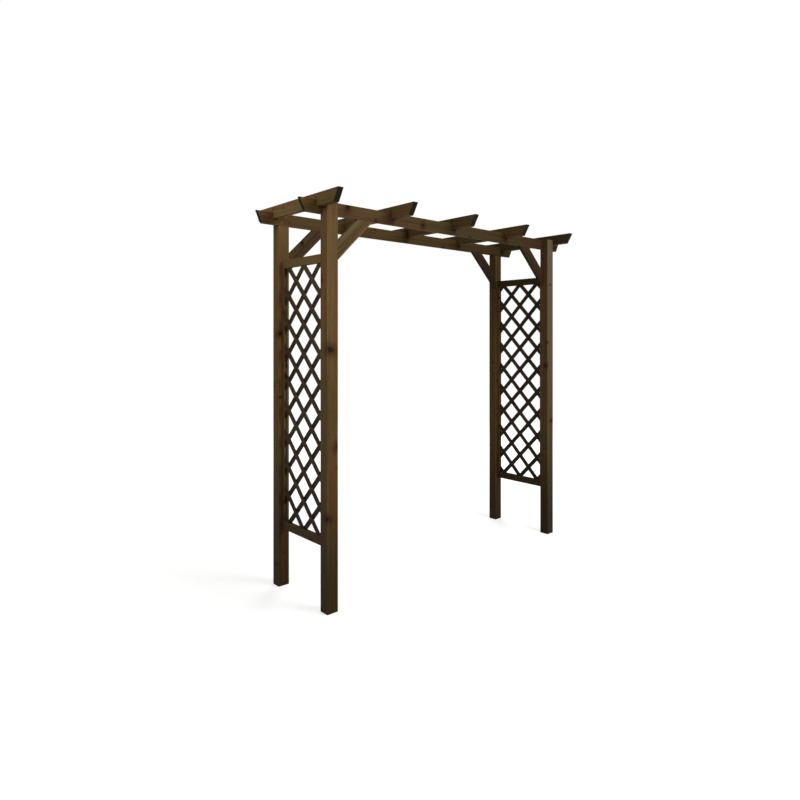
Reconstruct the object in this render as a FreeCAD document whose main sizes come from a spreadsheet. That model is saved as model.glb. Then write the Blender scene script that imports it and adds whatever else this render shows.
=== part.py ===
import FreeCAD, Part
import os
import Sketcher

# A flat-topped timber garden arch.  Four square posts carry two long beams, the
# beams carry notched rafters, knee braces stiffen the corners, and a framed
# diamond lattice closes each side.  Nothing moves: it is a screwed timber frame.
# X runs along the beams, Y from front to back, Z up.  The origin is on the ground,
# in the middle of the arch.  Everything is in millimetres.

SIZES = (
    ("arch_width", 2000, "outer face to outer face of the posts, along X"),
    ("arch_depth", 580, "outer face to outer face of the posts, along Y"),
    ("post_height", 2200, "ground to the post tops and the beam tops"),
    ("post_side", 68, "side of the square posts"),
    ("post_ease", 3, "chamfer on the long edges of the posts"),
    ("board_ease", 1.5, "chamfer on the long edges of beams, rafters and braces"),
    ("beam_deep", 72, "height of a beam"),
    ("beam_thick", 22, "thickness of a beam, and depth of the rebate that houses it"),
    ("beam_tail", 140, "beam top edge past the outer face of a post"),
    ("beam_tail_cut", 35, "how much shorter the lower edge of a beam is at each end"),
    ("rafter_count", 5, "rafters across the two beams"),
    ("rafter_deep", 70, "height of a rafter"),
    ("rafter_thick", 35, "thickness of a rafter"),
    ("rafter_rise", 36, "rafter top above the beam top"),
    ("rafter_tail", 150, "rafter top edge past the outer face of a post"),
    ("rafter_tail_cut", 42, "how much shorter the lower edge of a rafter is at each end"),
    ("notch_play", 0.5, "gap each side of a beam in a rafter notch"),
    ("brace_wide", 75, "width of a knee brace"),
    ("brace_thick", 22, "thickness of a knee brace"),
    ("brace_leg", 268, "inside corner to the far end of a knee brace, down or along"),
    ("panel_bottom", 338, "ground to the underside of a side panel"),
    ("panel_drop", 277, "post tops to the upper edge of a side panel"),
    ("rail_deep", 48, "height of a panel rail"),
    ("rail_thick", 20, "thickness of the panel rails and stiles"),
    ("stile_wide", 22, "width of a panel stile"),
    ("groove_deep", 6, "depth of the groove round the inside of a panel frame"),
    ("groove_entry", 5, "how far laths and tenons reach into the groove"),
    ("groove_play", 0.25, "gap each side of the laths and tenons in the groove"),
    ("lath_thick", 6, "thickness of a lath"),
    ("lath_wide", 30, "width of a lath"),
    ("lath_pitch", 167, "height of one lattice diamond, centre to centre"),
    ("screw_shank", 5, "diameter of a screw's shank"),
    ("screw_head", 9, "diameter of a screw's head"),
    ("screw_head_high", 3, "height of the countersunk head"),
    ("screw_play", 0.25, "gap round a screw in its hole"),
    ("screw_sink", 0.5, "screw head below the timber's surface"),
    ("rail_screw_bite", 45, "length of a rail screw in the rail"),
    ("beam_screw_bite", 28, "length of a beam screw in the post"),
    ("beam_screw_side", 15, "beam screws to the middle of the post, sideways"),
    ("beam_screw_high", 18, "upper and lower edge of the beam to its screws"),
    ("rafter_screw_high", 15, "slanting rafter screw's entry above the beam top"),
    ("rafter_screw_bite", 35, "length of a rafter screw in the beam"),
    ("brace_screw_hold", 30, "timber between a brace screw's head and the joint"),
    ("brace_screw_bite", 30, "length of a brace screw past the joint"),
    ("tack_shank", 1.8, "diameter of a lattice tack"),
    ("tack_head", 5, "diameter of a tack's head"),
    ("tack_head_high", 1, "height of a tack's head"),
    ("tack_play", 0.15, "gap round a tack in its hole"),
    ("tack_short", 1.5, "tack's point to the far face of the lattice"),
    ("tack_edge", 12, "nearest that a tack comes to the frame"),
)
SHEET = "Sizes"
FOLDER = "parts"
OVERCUT = 1          # how far a cutter runs past the face it opens
LEFT_RIGHT = ((-1, "left"), (1, "right"))
FRONT_BACK = ((-1, "front"), (1, "back"))
UP = (0, 0, 1)
SLOPE = 0.5 ** 0.5   # sine and cosine of 45 degrees


class Size:
    """A number together with the sheet expression that it comes from."""

    def __init__(self, value, text=None):
        self.value = float(value)
        self.text = text or repr(value)

    def __add__(self, other):
        other = sized(other)
        return Size(self.value + other.value, f"({self.text} + {other.text})")

    def __sub__(self, other):
        other = sized(other)
        return Size(self.value - other.value, f"({self.text} - {other.text})")

    def __mul__(self, factor):
        return Size(self.value * factor, f"({self.text} * {factor!r})")

    def __neg__(self):
        return self * -1

    __radd__ = __add__
    __rmul__ = __mul__


def sized(value):
    return value if isinstance(value, Size) else Size(value)


doc = FreeCAD.newDocument("garden_arch")
sheet = doc.addObject("Spreadsheet::Sheet", SHEET)
size = {}
for row, (alias, number, meaning) in enumerate(SIZES, start=1):
    sheet.set(f"A{row}", alias)
    sheet.set(f"B{row}", str(number))
    sheet.set(f"C{row}", meaning)
    sheet.setAlias(f"B{row}", alias)
    size[alias] = Size(number, f"{SHEET}.{alias}")
doc.recompute()

# Places that several pieces share.
post_x = (size["arch_width"] - size["post_side"]) * 0.5
post_y = (size["arch_depth"] - size["post_side"]) * 0.5
inner_x = size["arch_width"] * 0.5 - size["post_side"]
inner_y = size["arch_depth"] * 0.5 - size["post_side"]
beam_y = inner_y + size["beam_thick"] * 0.5
beam_under = size["post_height"] - size["beam_deep"]
rafter_x = (size["arch_width"] + size["rafter_thick"]) * 0.5
brace_short = size["brace_leg"] - size["brace_wide"] * 2 ** 0.5
brace_middle = (size["brace_leg"] + brace_short) * 0.5
panel_top = size["post_height"] - size["panel_drop"]
panel_middle = (panel_top + size["panel_bottom"]) * 0.5
clear_half_high = (panel_top - size["panel_bottom"]) * 0.5 - size["rail_deep"]
clear_half_wide = inner_y - size["stile_wide"]
lattice_half_high = clear_half_high + size["groove_entry"]
lattice_half_wide = clear_half_wide + size["groove_entry"]
lattice_thick = size["lath_thick"] * 2
groove_wide = lattice_thick + size["groove_play"] * 2

nodes = []           # finished pieces, in the order they are written
holes = {}           # piece name to the drilled shapes that cut it


def bind(thing, **sizes):
    """Set properties from sizes and tie them to the sheet."""
    for name, value in sizes.items():
        value = sized(value)
        setattr(thing, name, value.value)
        thing.setExpression(name, value.text)


def place(thing, x=0, y=0, z=0, direction=UP):
    """Put a thing at a point, with its own Z axis along direction."""
    point = [sized(value) for value in (x, y, z)]
    turn = FreeCAD.Rotation(FreeCAD.Vector(*UP), FreeCAD.Vector(*direction))
    thing.Placement = FreeCAD.Placement(FreeCAD.Vector(*[p.value for p in point]), turn)
    for axis, value in zip("xyz", point):
        thing.setExpression(f"Placement.Base.{axis}", value.text)
    return thing


def polygon_sketch(body, plane, outlines):
    """A sketch of closed outlines whose every corner is held by two sizes."""
    sketch = body.newObject("Sketcher::SketchObject", "Outline")
    support = [f for f in body.Origin.OriginFeatures if f.Role == plane][0]
    sketch.AttachmentSupport = [(support, "")]
    sketch.MapMode = "FlatFace"
    for outline in outlines:
        corners = [(sized(x), sized(y)) for x, y in outline]
        first = sketch.GeometryCount
        for here, after in zip(corners, corners[1:] + corners[:1]):
            ends = [FreeCAD.Vector(x.value, y.value, 0) for x, y in (here, after)]
            sketch.addGeometry(Part.LineSegment(*ends), False)
        for index in range(len(corners)):
            following = first + (index + 1) % len(corners)
            sketch.addConstraint(Sketcher.Constraint("Coincident", first + index, 2, following, 1))
        for index, corner in enumerate(corners):
            for kind, value in zip(("DistanceX", "DistanceY"), corner):
                rule = Sketcher.Constraint(kind, -1, 1, first + index, 1, value.value)
                sketch.setExpression(f"Constraints[{sketch.addConstraint(rule)}]", value.text)
    return sketch


def timber(name, plane, outline, thickness):
    """A body padded both ways from one outline."""
    body = doc.addObject("PartDesign::Body", f"{name}_blank")
    pad = body.newObject("PartDesign::Pad", "Board")
    pad.Profile = polygon_sketch(body, plane, [outline])
    pad.SideType = "Symmetric"
    bind(pad, Length=thickness)
    doc.recompute()
    return body


def ease(body, direction, amount):
    """Chamfer every edge of a body that runs along direction."""
    along = FreeCAD.Vector(*direction).normalize()
    last = body.Tip
    names = []
    for number, edge in enumerate(last.Shape.Edges, start=1):
        run = edge.Vertexes[-1].Point - edge.Vertexes[0].Point
        if run.cross(along).Length < 1e-6 * run.Length:
            names.append(f"Edge{number}")
    chamfer = body.newObject("PartDesign::Chamfer", "Eased")
    chamfer.Base = (last, names)
    bind(chamfer, Size=amount)
    doc.recompute()


def cut_through(body, plane, outlines):
    """Cut outlines right through a body, and make sure that they take wood away."""
    before = body.Shape.Volume
    pocket = body.newObject("PartDesign::Pocket", "Cut")
    pocket.Profile = polygon_sketch(body, plane, outlines)
    pocket.Type = "ThroughAll"
    pocket.SideType = "Symmetric"
    doc.recompute()
    if body.Shape.Volume >= before:
        raise ValueError(f"the cut in {body.Label} took nothing away")


def box(low_a, low_b, high_a, high_b):
    return [(low_a, low_b), (high_a, low_b), (high_a, high_b), (low_a, high_b)]


def channel(half_wide, half_groove, deep, groove, side):
    """Outline of a grooved strip that opens away from side, with its back on the axis."""
    back = side * -1
    floor = (deep - groove) * back
    mouth = deep * back
    return [(-half_wide, 0), (half_wide, 0), (half_wide, mouth), (half_groove, mouth),
            (half_groove, floor), (-half_groove, floor), (-half_groove, mouth), (-half_wide, mouth)]


def finish(name, blank):
    """Drill a blank's holes and keep it as a finished piece."""
    piece = blank
    if name in holes:
        drill = joined(f"{name}_holes", holes[name])
        piece = doc.addObject("Part::Cut", f"{name}_drilled")
        piece.Base = blank
        piece.Tool = drill
    piece.Label = name
    nodes.append(piece)


def joined(name, shapes):
    union = doc.addObject("Part::MultiFuse", name)
    union.Shapes = shapes
    return union


def rod(point, direction, start, radius, length, end_radius=None):
    """A cylinder, or a cone where its ends differ, from start along a line."""
    kind = "Cylinder" if end_radius is None else "Cone"
    thing = doc.addObject(f"Part::{kind}", kind)
    bind(thing, Height=length)
    if end_radius is None:
        bind(thing, Radius=radius)
    else:
        bind(thing, Radius1=radius, Radius2=end_radius)
    corner = [sized(p) + sized(start) * d for p, d in zip(point, direction)]
    return place(thing, *corner, direction=direction)


def drive_screw(group, point, direction, length, recess, timbers):
    """A countersunk screw with its head at point, and its hole in each timber."""
    shank = size["screw_shank"] * 0.5
    head = size["screw_head"] * 0.5
    high = size["screw_head_high"]
    play = size["screw_play"]
    group += [rod(point, direction, 0, shank, length),
              rod(point, direction, 0, head, high, shank)]
    for timber_name in timbers:
        holes.setdefault(timber_name, []).extend([
            rod(point, direction, -recess, head + play, recess),
            rod(point, direction, 0, head + play, high, shank + play),
            rod(point, direction, 0, shank + play, length + play)])


def make_posts():
    half = size["post_side"] * 0.5
    high = size["post_height"]
    for side_x, left_right in LEFT_RIGHT:
        for side_y, front_back in FRONT_BACK:
            name = f"post_{front_back}_{left_right}"
            body = timber(name, "XZ_Plane", box(-half, 0, half, high), size["post_side"])
            ease(body, UP, size["post_ease"])
            # The beam lies in a rebate at the top of the inner face.
            shoulder = (half - size["beam_thick"]) * -side_y
            outside = (half + OVERCUT) * -side_y
            cut_through(body, "YZ_Plane", [box(shoulder, beam_under, outside, high + OVERCUT)])
            place(body, post_x * side_x, post_y * side_y, 0)
            finish(name, body)


def make_beams():
    top = size["arch_width"] * 0.5 + size["beam_tail"]
    low = top - size["beam_tail_cut"]
    for side_y, front_back in FRONT_BACK:
        name = f"beam_{front_back}"
        outline = [(-low, -size["beam_deep"]), (low, -size["beam_deep"]), (top, 0), (-top, 0)]
        body = timber(name, "XZ_Plane", outline, size["beam_thick"])
        ease(body, (1, 0, 0), size["board_ease"])
        place(body, 0, beam_y * side_y, size["post_height"])
        finish(name, body)


def rafter_places():
    """The middle of each rafter along X, evenly from one outer post face to the other."""
    count = int(size["rafter_count"].value)
    return [rafter_x * (2 * index / (count - 1) - 1) for index in range(count)]


def make_rafters():
    top = size["arch_depth"] * 0.5 + size["rafter_tail"]
    low = top - size["rafter_tail_cut"]
    deep = size["rafter_deep"]
    near = inner_y - size["notch_play"]
    far = inner_y + size["beam_thick"] + size["notch_play"]
    for number, middle in enumerate(rafter_places(), start=1):
        name = f"rafter_{number}"
        outline = [(-low, -deep), (low, -deep), (top, 0), (-top, 0)]
        body = timber(name, "YZ_Plane", outline, size["rafter_thick"])
        ease(body, (0, 1, 0), size["board_ease"])
        seat = -size["rafter_rise"]
        under = -deep - OVERCUT
        notches = [box(near * side, under, far * side, seat) for side in (-1, 1)]
        cut_through(body, "YZ_Plane", notches)
        place(body, middle, 0, size["post_height"] + size["rafter_rise"])
        finish(name, body)


def make_braces():
    leg = size["brace_leg"]
    for side_x, left_right in LEFT_RIGHT:
        for side_y, front_back in FRONT_BACK:
            name = f"brace_{front_back}_{left_right}"
            outline = [(0, -leg), (0, -brace_short), (brace_short * -side_x, 0), (leg * -side_x, 0)]
            body = timber(name, "XZ_Plane", outline, size["brace_thick"])
            ease(body, (-side_x, 0, 1), size["board_ease"])
            place(body, inner_x * side_x, beam_y * side_y, beam_under)
            finish(name, body)


def make_panel_frames():
    half_wide = size["rail_thick"] * 0.5
    half_groove = groove_wide * 0.5
    half_tenon = lattice_thick * 0.5
    entry = size["groove_entry"]
    tall = lattice_half_high * 2
    for side_x, left_right in LEFT_RIGHT:
        for side_z, level, edge in ((1, "top", panel_top), (-1, "bottom", size["panel_bottom"])):
            name = f"rail_{level}_{left_right}"
            outline = channel(half_wide, half_groove, size["rail_deep"], size["groove_deep"], side_z)
            body = timber(name, "XZ_Plane", outline, inner_y * 2)
            place(body, post_x * side_x, 0, edge)
            finish(name, body)
        for side_y, front_back in FRONT_BACK:
            name = f"stile_{front_back}_{left_right}"
            outline = channel(half_wide, half_groove, size["stile_wide"], size["groove_deep"], side_y)
            body = timber(name, "XY_Plane", outline, tall)
            # Stub tenons at both ends fit the grooves of the rails.
            outside = half_wide + OVERCUT
            cheeks = []
            for end in (-1, 1):
                shoulder = (lattice_half_high - entry) * end
                beyond = (lattice_half_high + OVERCUT) * end
                for cheek in (-1, 1):
                    cheeks.append(box(half_tenon * cheek, shoulder, outside * cheek, beyond))
            cut_through(body, "XZ_Plane", cheeks)
            place(body, post_x * side_x, inner_y * side_y, panel_middle)
            finish(name, body)


def lath_levels():
    """Where the laths of one layer cross the panel's middle line, above its middle."""
    reach = lattice_half_high.value + lattice_half_wide.value - size["lath_wide"].value
    pitch = size["lath_pitch"]
    count = int(reach / pitch.value + 0.5)
    return [pitch * (index + 0.5) for index in range(-count, count)]


def make_lattices():
    run = lattice_half_wide * (2 / SLOPE) + size["lath_wide"] * 2
    across = size["lath_wide"] * 0.5
    for side_x, left_right in LEFT_RIGHT:
        tacks, tack_holes = make_tacks(side_x)
        # The outer laths fall towards the front and the inner laths towards the back.
        for layer, fall in (("outer", 1), ("inner", -1)):
            laths = []
            for level in lath_levels():
                lath = doc.addObject("Part::Box", "Lath")
                bind(lath, Length=size["lath_thick"], Width=size["lath_wide"], Height=run)
                near_mid = side_x * (1 if layer == "outer" else -1) < 0
                x = post_x * side_x - (size["lath_thick"] if near_mid else 0)
                y = (across + run * 0.5 * fall) * -SLOPE
                z = panel_middle + level + (across * fall - run * 0.5) * SLOPE
                laths.append(place(lath, x, y, z, direction=(0, fall, 1)))
            layer_name = f"lattice_{layer}_{left_right}"
            strips = doc.addObject("Part::Compound", f"{layer_name}_strips")
            strips.Links = laths
            room = doc.addObject("Part::Box", f"{layer_name}_room")
            bind(room, Length=lattice_thick, Width=lattice_half_wide * 2, Height=lattice_half_high * 2)
            place(room, post_x * side_x - size["lath_thick"], -lattice_half_wide,
                  panel_middle - lattice_half_high)
            trimmed = doc.addObject("Part::Common", f"{layer_name}_trimmed")
            trimmed.Base = strips
            trimmed.Tool = room
            drilled = doc.addObject("Part::Cut", f"{layer_name}_drilled")
            drilled.Base = trimmed
            drilled.Tool = tack_holes
            drilled.Label = layer_name
            nodes.append(drilled)
        tacks.Label = f"tacks_{left_right}"
        nodes.append(tacks)


def make_tacks(side_x):
    """A tack through each crossing, and the holes for them."""
    solids = []
    drills = []
    face = post_x * side_x + size["lath_thick"] * side_x
    inward = (-side_x, 0, 0)
    length = lattice_thick - size["tack_short"]
    radius = size["tack_shank"] * 0.5
    wide = clear_half_wide.value - size["tack_edge"].value
    high = clear_half_high.value - size["tack_edge"].value
    for rising in lath_levels():
        for falling in lath_levels():
            y = (falling - rising) * 0.5
            z = (falling + rising) * 0.5
            if abs(y.value) > wide or abs(z.value) > high:
                continue
            point = (face, y, panel_middle + z)
            solids.append(rod(point, inward, 0, radius, length))
            solids.append(rod(point, inward, -size["tack_head_high"], size["tack_head"] * 0.5,
                              size["tack_head_high"]))
            drills.append(rod(point, inward, -OVERCUT, radius + size["tack_play"],
                              length + size["tack_play"] + OVERCUT))
    drill = doc.addObject("Part::Compound", "tack_holes")
    drill.Links = drills
    return joined("tacks", solids), drill


def plan_screws():
    """Drive every screw; the pieces are cut by the holes when they are finished."""
    sink = size["screw_sink"]
    flush = sink + OVERCUT
    slant = size["brace_leg"] * 0.5
    groups = {"screws_rails": [], "screws_beams": [], "screws_rafters": [], "screws_braces": []}
    for side_x, left_right in LEFT_RIGHT:
        for side_y, front_back in FRONT_BACK:
            post = f"post_{front_back}_{left_right}"
            beam = f"beam_{front_back}"
            brace = f"brace_{front_back}_{left_right}"
            # Through the post into the end of each rail.
            for level, edge, side_z in (("top", panel_top, -1), ("bottom", size["panel_bottom"], 1)):
                point = (post_x * side_x, (size["arch_depth"] * 0.5 - sink) * side_y,
                         edge + size["rail_deep"] * (0.5 * side_z))
                length = size["post_side"] - sink + size["rail_screw_bite"]
                drive_screw(groups["screws_rails"], point, (0, -side_y, 0), length, flush,
                            (post, f"rail_{level}_{left_right}"))
            # Two through the beam into the post's tongue, one high and one low.
            for step in (-1, 1):
                point = ((post_x + size["beam_screw_side"] * step) * side_x, (inner_y + sink) * side_y,
                         size["post_height"] - size["beam_deep"] * 0.5
                         - (size["beam_deep"] * 0.5 - size["beam_screw_high"]) * step)
                length = size["beam_thick"] - sink + size["beam_screw_bite"]
                drive_screw(groups["screws_beams"], point, (0, side_y, 0), length, flush, (beam, post))
            # One at each end of the brace, square to the timber it holds.
            length = size["brace_screw_hold"] + size["brace_screw_bite"]
            foot = ((inner_x - size["brace_screw_hold"]) * side_x, beam_y * side_y,
                    beam_under - brace_middle)
            drive_screw(groups["screws_braces"], foot, (side_x, 0, 0), length, slant, (brace, post))
            head = ((inner_x - brace_middle) * side_x, beam_y * side_y,
                    beam_under - size["brace_screw_hold"])
            drive_screw(groups["screws_braces"], head, UP, length, slant, (brace, beam))
    # Slanting screws from the outer face of each rafter down into the beam.
    to_beam = size["rafter_screw_high"] * (1 / SLOPE)
    head_drop = size["screw_head"] * 0.5 + sink
    for number, middle in enumerate(rafter_places(), start=1):
        side = 1 if middle.value > 0 else -1
        for side_y, front_back in FRONT_BACK:
            point = (middle + (size["rafter_thick"] * 0.5 - head_drop * SLOPE) * side,
                     beam_y * side_y,
                     size["post_height"] + size["rafter_screw_high"] - head_drop * SLOPE)
            length = to_beam - head_drop + size["rafter_screw_bite"]
            drive_screw(groups["screws_rafters"], point, (-side * SLOPE, 0, -SLOPE), length,
                        head_drop * 2 + OVERCUT, (f"rafter_{number}", f"beam_{front_back}"))
    return groups


def check_and_write():
    doc.recompute()
    for thing in doc.Objects:
        if "Invalid" in thing.State or "Error" in thing.State:
            raise ValueError(f"{thing.Label} did not build: {thing.State}")
    os.makedirs(FOLDER, exist_ok=True)
    for node in nodes:
        if node.Shape.isNull() or not node.Shape.isValid():
            raise ValueError(f"{node.Label} has no valid shape")
        node.Shape.exportStep(os.path.join(FOLDER, f"{node.Label}.step"))
        print(f"{node.Label}: {len(node.Shape.Solids)} solids, {node.Shape.Volume:.0f} mm3")


screw_groups = plan_screws()
make_posts()
make_beams()
make_rafters()
make_braces()
make_panel_frames()
make_lattices()
for group_name, screws in screw_groups.items():
    fixings = joined(f"{group_name}_set", screws)
    fixings.Label = group_name
    nodes.append(fixings)
check_and_write()
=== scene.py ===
"""The finished look of a stained timber garden arch, built round its packed construction model."""

import math
from contextlib import contextmanager

import bmesh
import bpy
from bpy.props import FloatProperty, FloatVectorProperty, PointerProperty
from mathutils import Matrix, Vector


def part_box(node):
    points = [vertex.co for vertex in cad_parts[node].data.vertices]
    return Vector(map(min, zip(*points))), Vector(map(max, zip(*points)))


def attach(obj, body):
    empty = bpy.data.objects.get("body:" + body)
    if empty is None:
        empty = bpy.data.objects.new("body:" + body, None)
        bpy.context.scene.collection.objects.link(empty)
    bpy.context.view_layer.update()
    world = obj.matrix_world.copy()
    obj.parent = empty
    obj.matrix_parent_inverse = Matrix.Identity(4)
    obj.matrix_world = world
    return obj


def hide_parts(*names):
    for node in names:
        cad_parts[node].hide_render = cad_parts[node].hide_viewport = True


bl_info = {
    "name": "Timber Garden Arch",
    "version": (1, 0, 0),
    "blender": (4, 5, 0),
    "location": "3D View > Sidebar > Garden Arch",
    "description": "Builds a stained timber garden arch with lattice sides, and a stage for it",
    "category": "Object",
}

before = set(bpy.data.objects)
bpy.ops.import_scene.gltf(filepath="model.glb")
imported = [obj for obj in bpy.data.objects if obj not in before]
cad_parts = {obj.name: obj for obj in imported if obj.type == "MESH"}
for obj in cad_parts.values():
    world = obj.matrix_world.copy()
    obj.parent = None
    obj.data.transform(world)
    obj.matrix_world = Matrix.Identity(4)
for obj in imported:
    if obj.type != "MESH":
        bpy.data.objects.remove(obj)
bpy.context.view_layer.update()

BODY = "root"
LEFT_RIGHT = ((-1, "left"), (1, "right"))
ALONG_X, ALONG_Y, UP = Vector((1, 0, 0)), Vector((0, 1, 0)), Vector((0, 0, 1))

# Shaping
SPARE = 0.004               # how far a cutter runs past the face it opens
KEPT_BY_CUT = 0.6, 1.0001   # the least and the most of a piece's volume that a sound cut leaves
CHECK_WAVE = 0.045          # length of the waves that a drying check runs in
SMOOTH_ANGLE = math.radians(35)
# The dot products from which an edge runs along a board, a face belongs to a board's end, a
# face is flat and not on a rounded edge, and a face gets the painted sheen.
PARALLEL, SQUARE_TO, ON_FLAT, SHEEN_FACING = 0.999, 0.6, 0.985, 0.8

# The tree that each board was sawn from
TREE_SLOT = 4.0             # length of grain kept for each board, longer than any of them
FIRST_LATH_SLOT = 40        # grain slots below this one belong to the other boards
GOLDEN_ANGLE = 2.39996      # this and the next spread the boards round the tree
GOLDEN_SHARE = 0.618
HEART_NEAR = 0.022          # the heart's least distance from the middle of a board
HEART_SPREAD = 0.05         # how much further off it is at most
HEART_SWAY = 0.06           # how far the heart wanders as the tree grows
RING_WIDE = 0.0044
RING_RIPPLE = 0.007         # how far the rings ripple
LARGE_KNOTS = {"Spacing": 0.31, "Size": 0.0150, "Seed": 3.0}
SMALL_KNOTS = {"Spacing": 0.13, "Size": 0.0055, "Seed": 11.5}
KNOT_LEAN = 0.25            # how far a knot rises on its way out
THINNEST_KNOT = 0.0005
GRAIN_RELIEF = 0.0006       # height of the fine relief of rings and fibres
TIMBER_SHINE = 0.05

# Each board's share of brightness at the low end of its grain and at its high end. It is partly
# stain that a board took up more or less of, and partly painted light and shade: lighter on the
# left of the arch, darker on the right, under the beams and along the beams towards the right.
# Any other board has 1.0 at both.
SOAKED_AND_SHADED = {
    "post_front_left": (1.12, 1.16), "post_front_right": (0.76, 0.75),
    "post_back_left": (0.94, 1.12), "post_back_right": (1.05, 0.68),
    "beam_front": (0.86, 0.25), "beam_back": (0.80, 0.30),
    "rafter_1": (0.80, 2.00), "rafter_2": (0.85, 0.85), "rafter_3": (0.80, 0.72),
    "rafter_4": (0.70, 0.70), "rafter_5": (0.47, 0.47),
    "brace_front_left": (0.90, 0.90), "brace_front_right": (0.24, 0.24),
    "brace_back_left": (0.46, 0.46), "brace_back_right": (0.22, 0.22),
    "rail_top_left": (1.40, 1.40), "rail_top_right": (0.40, 0.40),
    "rail_bottom_right": (0.70, 0.70),
    "lattice_outer_left": (1.15, 1.15), "lattice_inner_left": (0.75, 0.75),
    "lattice_inner_right": (0.70, 0.70)}
# Faces with a painted sheen, paler and greyer towards the top.
SHEEN_FACES = {"post_front_right": -ALONG_Y}
# How far a board's grain is slid along it, so that its knots fall where they should.
SLID = {"post_front_left": 0.26}


def length(name, description, default):
    return FloatProperty(name=name, description=description, default=default, min=0.0,
                         unit="LENGTH", precision=4)


def position(name, description, default):
    return FloatProperty(name=name, description=description, default=default, unit="LENGTH")


def colour(name, description, default):
    return FloatVectorProperty(name=name, description=description, default=default, size=3,
                               min=0.0, max=1.0, subtype="COLOR")


def share_of(name, description, default):
    return FloatProperty(name=name, description=description, default=default, min=0.0)


def power(name, description, default):
    return FloatProperty(name=name, description=description, default=default, min=0.0, unit="POWER")


class TimberSizes(bpy.types.PropertyGroup):
    """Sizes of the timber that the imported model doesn't hold by itself."""

    post_round: length("Post edge", "Radius of the long edges of a post", 0.003)
    board_round: length("Board edge", "Radius of the long edges of beams, rafters and braces", 0.0015)
    panel_round: length("Panel edge", "Radius of the long edges of rails, stiles and laths", 0.0008)
    end_round: length("End edge", "Wear on the edges of a sawn end", 0.0007)
    beam_tail_cut: length("Beam tail", "How much shorter a beam is along its lower edge", 0.035)
    rafter_tail_cut: length("Rafter tail", "How much shorter a rafter is along its lower edge", 0.042)
    notch_play: length("Notch play", "Gap each side of a beam in a rafter's notch", 0.0005)
    brace_wide: length("Brace width", "Width of a knee brace, square to its length", 0.075)
    groove_wide: length("Groove width", "Width of the groove round the inside of a panel frame", 0.0125)
    groove_deep: length("Groove depth", "Depth of the groove round the inside of a panel frame", 0.006)
    tenon_long: length("Tenon", "Length of the stub tenon at each end of a stile", 0.005)
    lath_wide: length("Lath width", "Width of a lath", 0.030)
    lath_pitch: length("Lath pitch", "Height of one diamond of the lattice", 0.167)
    check_wide: length("Check width", "Widest opening of a drying check", 0.0016)
    check_deep: length("Check depth", "Depth of a drying check", 0.009)
    check_wander: length("Check wander", "How far a drying check strays from side to side", 0.007)


class FixingSizes(bpy.types.PropertyGroup):
    """Sizes and places of the screws and tacks."""

    head_wide: length("Screw head", "Diameter of a screw's head", 0.009)
    head_high: length("Head height", "Height of the countersunk head", 0.003)
    shank_wide: length("Screw shank", "Diameter of a screw over its thread", 0.005)
    thread_pitch: length("Thread pitch", "Distance from one turn of the thread to the next", 0.0028)
    head_sink: length("Head sink", "Screw head below the timber's surface", 0.0005)
    head_play: length("Head play", "Gap round a screw's head", 0.00025)
    rail_bite: length("Rail screw bite", "Length of a rail screw in the rail", 0.045)
    beam_bite: length("Beam screw bite", "Length of a beam screw in the post", 0.028)
    beam_side: length("Beam screw side", "Beam screws to the middle of the post, sideways", 0.015)
    beam_edge: length("Beam screw edge", "Beam screws to the nearer edge of the beam", 0.018)
    rafter_entry: length("Rafter screw entry", "Slanting screw's entry above the beam top", 0.015)
    rafter_bite: length("Rafter screw bite", "Length of a rafter screw in the beam", 0.035)
    brace_hold: length("Brace screw hold", "Timber between a brace screw's head and the joint", 0.030)
    brace_bite: length("Brace screw bite", "Length of a brace screw past the joint", 0.030)
    tack_head: length("Tack head", "Diameter of a tack's head", 0.005)
    tack_head_high: length("Tack head height", "Height of a tack's head", 0.001)
    tack_shank: length("Tack shank", "Diameter of a tack's shank", 0.0018)
    tack_short: length("Tack short", "Tack's point to the far face of the lattice", 0.0015)
    tack_edge: length("Tack edge", "Nearest that a tack comes to the frame", 0.012)


class StainColours(bpy.types.PropertyGroup):
    """Colours of the stain, the wood under it and the fixings, and of painted sheen and highlight."""

    brown: colour("Brown", "The stain's main colour", (0.125, 0.0735, 0.0245))
    olive: colour("Olive", "Stain over greener sapwood", (0.100, 0.0715, 0.0255))
    russet: colour("Russet", "Stain over redder heartwood", (0.129, 0.0605, 0.0215))
    knot: colour("Knot", "The middle of a knot", (0.014, 0.007, 0.003))
    halo: colour("Knot halo", "Resin-soaked wood round a knot", (0.058, 0.017, 0.005))
    end: colour("End grain", "Stain soaked into end grain", (0.0115, 0.012, 0.0065))
    # Paler rounded edges: partly thin stain, partly a painted highlight where the edges catch the light.
    worn_highlit: colour("Worn edge", "Edges where the stain is thin", (0.240, 0.165, 0.085))
    # A paler, greyer painted sheen on one face of a post, seen at a glancing angle.
    sheen_colour: colour("Sheen", "Stain that the sun has bleached", (0.160, 0.126, 0.077))
    # Laths darker than the frame: a darker stain and painted shade in the recessed lattice.
    lath: colour("Lath", "Colour of a lath against the frame's, as a share", (0.36, 0.40, 0.48))
    steel: colour("Steel", "Bright part of the screws and tacks", (0.085, 0.070, 0.048))
    rust: colour("Rust", "Tarnish on the screws and tacks", (0.055, 0.028, 0.012))
    # Darker towards the ground: partly damp, partly painted shade low down.
    ground_damp_and_shade: share_of("Ground damp", "Share of brightness kept by timber at the ground", 0.34)


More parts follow.
